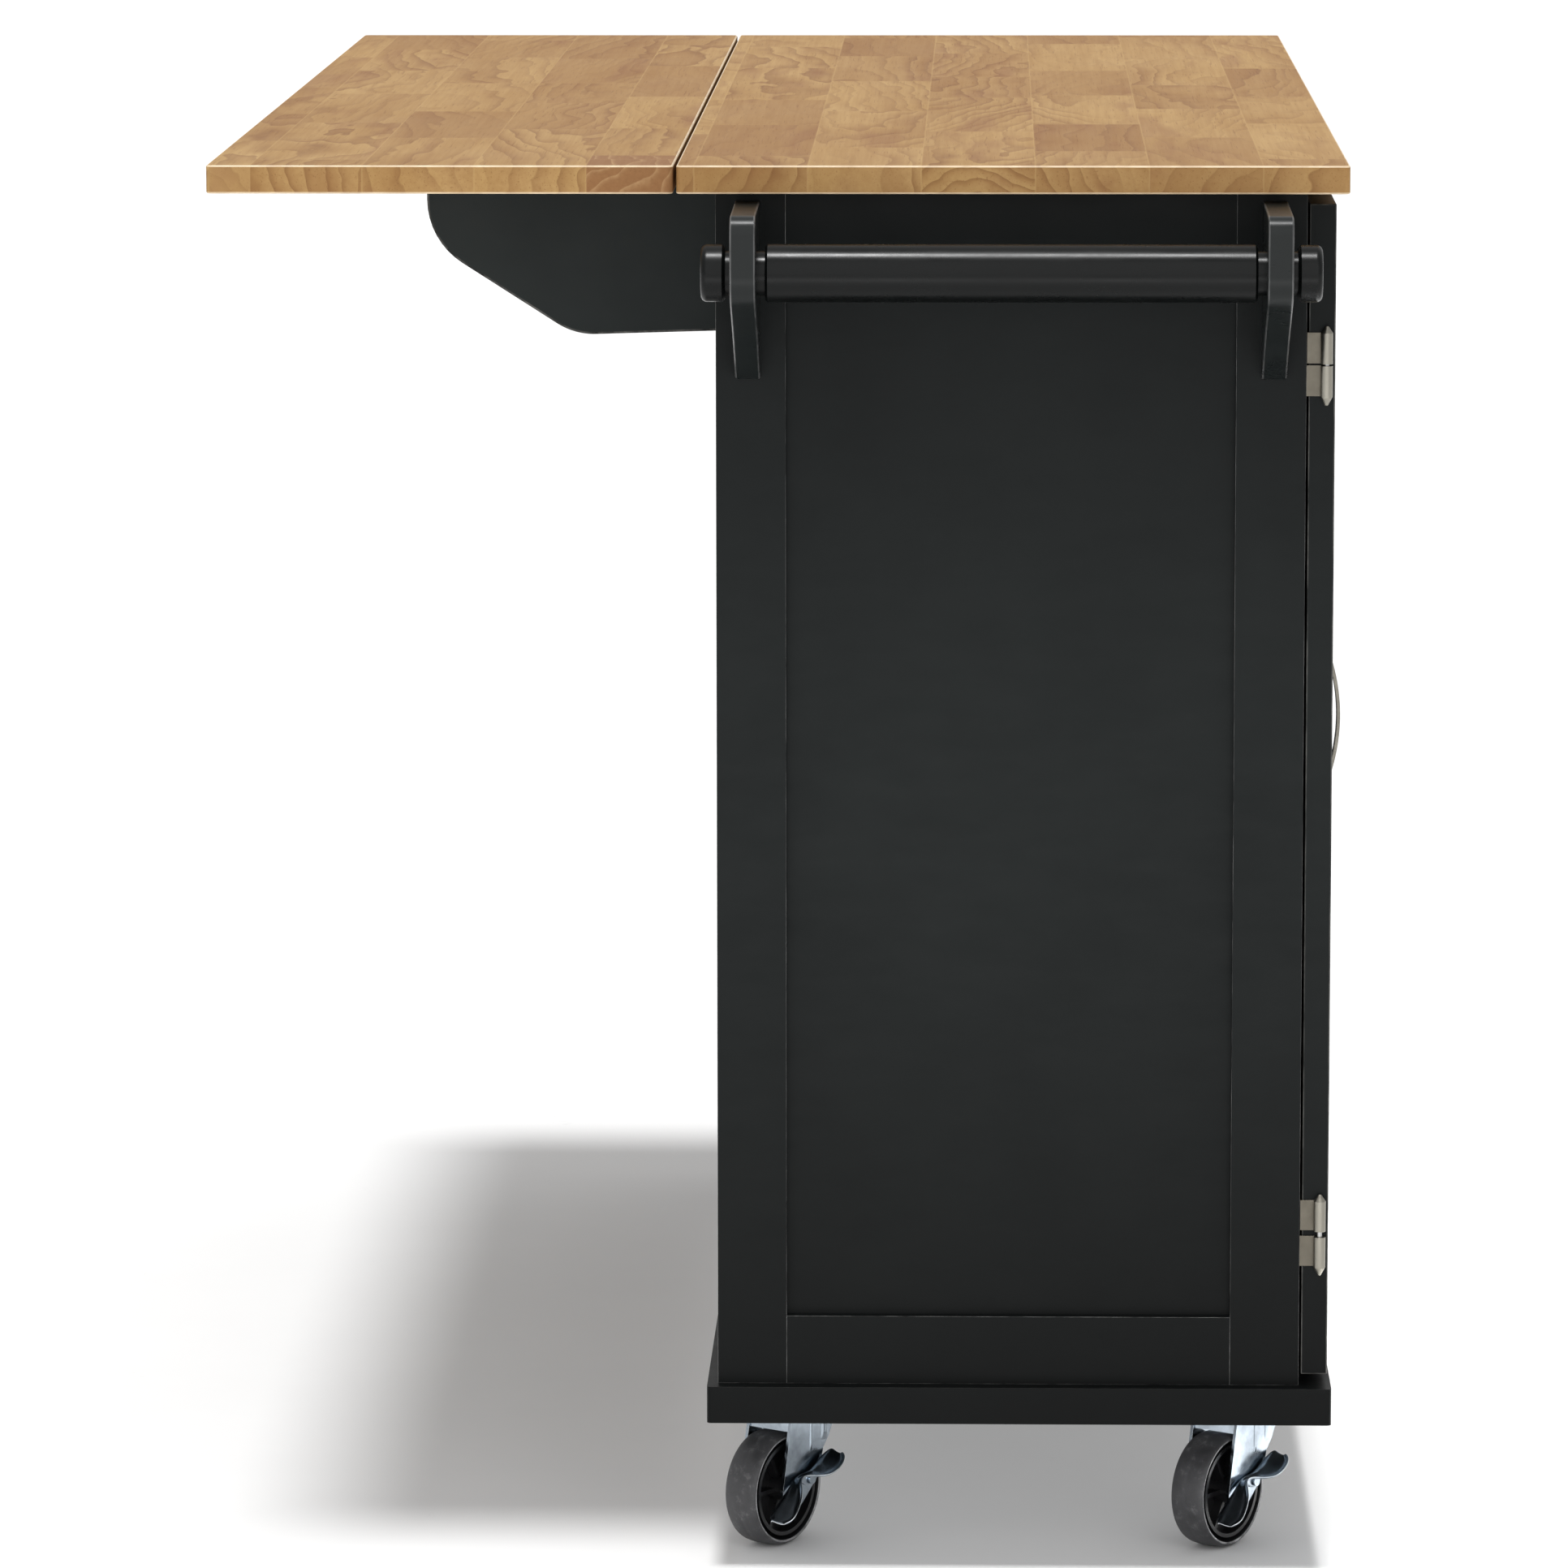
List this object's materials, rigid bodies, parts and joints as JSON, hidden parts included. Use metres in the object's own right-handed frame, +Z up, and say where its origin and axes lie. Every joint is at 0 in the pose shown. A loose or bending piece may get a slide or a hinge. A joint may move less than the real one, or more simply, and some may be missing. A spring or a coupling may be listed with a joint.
{
  "type": "kitchen cart table",
  "caption": "Rolling butcher block table with a raised drop leaf on swing-out wings, doors, drawers, a towel bar and braked casters.",
  "frame": {"origin": "centre of the footprint's box on the floor", "axes": "+X along the worktop, away from the towel bar; +Y from the doors towards the leaf; +Z up"},
  "size_m": [1.452, 0.7365, 0.914],
  "materials": {
    "butcher_block": "satin oiled staves with end grain at the ends",
    "black_paint": "satin black paint on wood",
    "drawer_wood": "clear lacquered pale wood",
    "hinge_nickel": "satin nickel plate",
    "pin_steel": "bright drawn steel",
    "pull_nickel": "brushed satin nickel",
    "zinc": "bright blue zinc plate on pressed steel",
    "tyre_rubber": "matt grey-black rubber, scuffed",
    "hub_plastic": "glossy black moulded plastic"
  },
  "bodies": {
    "cabinet": {"top_panel": "butcher_block", "base_panel": "black_paint", "side_frames": "black_paint", "side_panels": "black_paint", "back_top_rail": "black_paint", "back_panel": "black_paint", "dividers": "black_paint", "front_stretchers": "black_paint", "shelves": "black_paint", "shelf_pins": "pin_steel", "towel_brackets": "black_paint", "butt_hinge_fixed_plates": "hinge_nickel", "door_hinge_fixed_plates": "hinge_nickel", "hinge_pins": "pin_steel", "caster_plates": "zinc", "caster_screws": "zinc", "drawer_runners": "drawer_wood"},
    "leaf": {"leaf_panel": "butcher_block", "leaf_hinge_plates": "hinge_nickel"},
    "towel_bar": {"towel_bar": "black_paint"},
    "left_wing": {"left_wing": "black_paint", "left_wing_hinge_plate": "hinge_nickel"},
    "left_door": {"left_door_frame": "black_paint", "left_door_panel": "black_paint", "left_door_pull": "pull_nickel", "left_door_hinge_plates": "hinge_nickel"},
    "right_wing": {"right_wing": "black_paint", "right_wing_hinge_plate": "hinge_nickel"},
    "right_door": {"right_door_frame": "black_paint", "right_door_panel": "black_paint", "right_door_pull": "pull_nickel", "right_door_hinge_plates": "hinge_nickel"},
    "drawer_1": {"drawer_1_front": "black_paint", "drawer_1_box": "drawer_wood", "drawer_1_pull": "pull_nickel"},
    "drawer_2": {"drawer_2_front": "black_paint", "drawer_2_box": "drawer_wood", "drawer_2_pull": "pull_nickel"},
    "drawer_3": {"drawer_3_front": "black_paint", "drawer_3_box": "drawer_wood", "drawer_3_pull": "pull_nickel"},
    "drawer_4": {"drawer_4_front": "black_paint", "drawer_4_box": "drawer_wood", "drawer_4_pull": "pull_nickel"},
    "caster_1_fork": {"caster_1_fork": "zinc"},
    "caster_1_wheel": {"caster_1_hub": "hub_plastic", "caster_1_tyre": "tyre_rubber"},
    "caster_1_brake": {"caster_1_brake": "zinc"},
    "caster_2_fork": {"caster_2_fork": "zinc"},
    "caster_2_wheel": {"caster_2_hub": "hub_plastic", "caster_2_tyre": "tyre_rubber"},
    "caster_2_brake": {"caster_2_brake": "zinc"},
    "caster_3_fork": {"caster_3_fork": "zinc"},
    "caster_3_wheel": {"caster_3_hub": "hub_plastic", "caster_3_tyre": "tyre_rubber"},
    "caster_3_brake": {"caster_3_brake": "zinc"},
    "caster_4_fork": {"caster_4_fork": "zinc"},
    "caster_4_wheel": {"caster_4_hub": "hub_plastic", "caster_4_tyre": "tyre_rubber"},
    "caster_4_brake": {"caster_4_brake": "zinc"}
  },
  "joints": [
    {"name": "leaf_lift", "type": "hinge", "parent": "cabinet", "child": "leaf", "pos_m": [0.0465, 0.07125, 0.8925], "axis": [1, 0, 0], "range_deg": [0, 4]},
    {"name": "towel_bar_turn", "type": "hinge", "parent": "cabinet", "child": "towel_bar", "pos_m": [-0.69, -0.14175, 0.851], "axis": [0, 1, 0], "continuous": true},
    {"name": "left_wing_swing", "type": "hinge", "parent": "cabinet", "child": "left_wing", "pos_m": [-0.4013, 0.04965, 0.838], "axis": [0, 0, -1], "range_deg": [0, 90]},
    {"name": "left_door_swing", "type": "hinge", "parent": "cabinet", "child": "left_door", "pos_m": [-0.611, -0.34255, 0.5085], "axis": [0, 0, -1], "range_deg": [0, 115]},
    {"name": "right_wing_swing", "type": "hinge", "parent": "cabinet", "child": "right_wing", "pos_m": [0.4943, 0.04965, 0.838], "axis": [0, 0, 1], "range_deg": [0, 90]},
    {"name": "right_door_swing", "type": "hinge", "parent": "cabinet", "child": "right_door", "pos_m": [0.704, -0.34255, 0.5085], "axis": [0, 0, 1], "range_deg": [0, 115]},
    {"name": "drawer_1_slide", "type": "slide", "parent": "cabinet", "child": "drawer_1", "axis": [0, -1, 0], "range_m": [0, 0.28]},
    {"name": "drawer_2_slide", "type": "slide", "parent": "cabinet", "child": "drawer_2", "axis": [0, -1, 0], "range_m": [0, 0.28]},
    {"name": "drawer_3_slide", "type": "slide", "parent": "cabinet", "child": "drawer_3", "axis": [0, -1, 0], "range_m": [0, 0.28]},
    {"name": "drawer_4_slide", "type": "slide", "parent": "cabinet", "child": "drawer_4", "axis": [0, -1, 0], "range_m": [0, 0.28]},
    {"name": "caster_1_swivel", "type": "hinge", "parent": "cabinet", "child": "caster_1_fork", "pos_m": [-0.5215, -0.00275, 0.084], "axis": [0, 0, 1], "continuous": true},
    {"name": "caster_1_roll", "type": "hinge", "parent": "caster_1_fork", "child": "caster_1_wheel", "pos_m": [-0.54267, 0.01235, 0.038], "axis": [-0.5807, -0.8141, 0], "continuous": true},
    {"name": "caster_1_brake_rock", "type": "hinge", "parent": "caster_1_fork", "child": "caster_1_brake", "pos_m": [-0.54207, -0.01264, 0.043], "axis": [0.5807, 0.8141, 0], "range_deg": [0, 25]},
    {"name": "caster_2_swivel", "type": "hinge", "parent": "cabinet", "child": "caster_2_fork", "pos_m": [-0.5215, -0.29475, 0.084], "axis": [0, 0, 1], "continuous": true},
    {"name": "caster_2_roll", "type": "hinge", "parent": "caster_2_fork", "child": "caster_2_wheel", "pos_m": [-0.54267, -0.27965, 0.038], "axis": [-0.5807, -0.8141, 0], "continuous": true},
    {"name": "caster_2_brake_rock", "type": "hinge", "parent": "caster_2_fork", "child": "caster_2_brake", "pos_m": [-0.54207, -0.30464, 0.043], "axis": [0.5807, 0.8141, 0], "range_deg": [0, 25]},
    {"name": "caster_3_swivel", "type": "hinge", "parent": "cabinet", "child": "caster_3_fork", "pos_m": [0.6145, -0.00275, 0.084], "axis": [0, 0, 1], "continuous": true},
    {"name": "caster_3_roll", "type": "hinge", "parent": "caster_3_fork", "child": "caster_3_wheel", "pos_m": [0.59333, 0.01235, 0.038], "axis": [-0.5807, -0.8141, 0], "continuous": true},
    {"name": "caster_3_brake_rock", "type": "hinge", "parent": "caster_3_fork", "child": "caster_3_brake", "pos_m": [0.59393, -0.01264, 0.043], "axis": [0.5807, 0.8141, 0], "range_deg": [0, 25]},
    {"name": "caster_4_swivel", "type": "hinge", "parent": "cabinet", "child": "caster_4_fork", "pos_m": [0.6145, -0.29475, 0.084], "axis": [0, 0, 1], "continuous": true},
    {"name": "caster_4_roll", "type": "hinge", "parent": "caster_4_fork", "child": "caster_4_wheel", "pos_m": [0.59333, -0.27965, 0.038], "axis": [-0.5807, -0.8141, 0], "continuous": true},
    {"name": "caster_4_brake_rock", "type": "hinge", "parent": "caster_4_fork", "child": "caster_4_brake", "pos_m": [0.59393, -0.30464, 0.043], "axis": [0.5807, 0.8141, 0], "range_deg": [0, 25]}
  ]
}
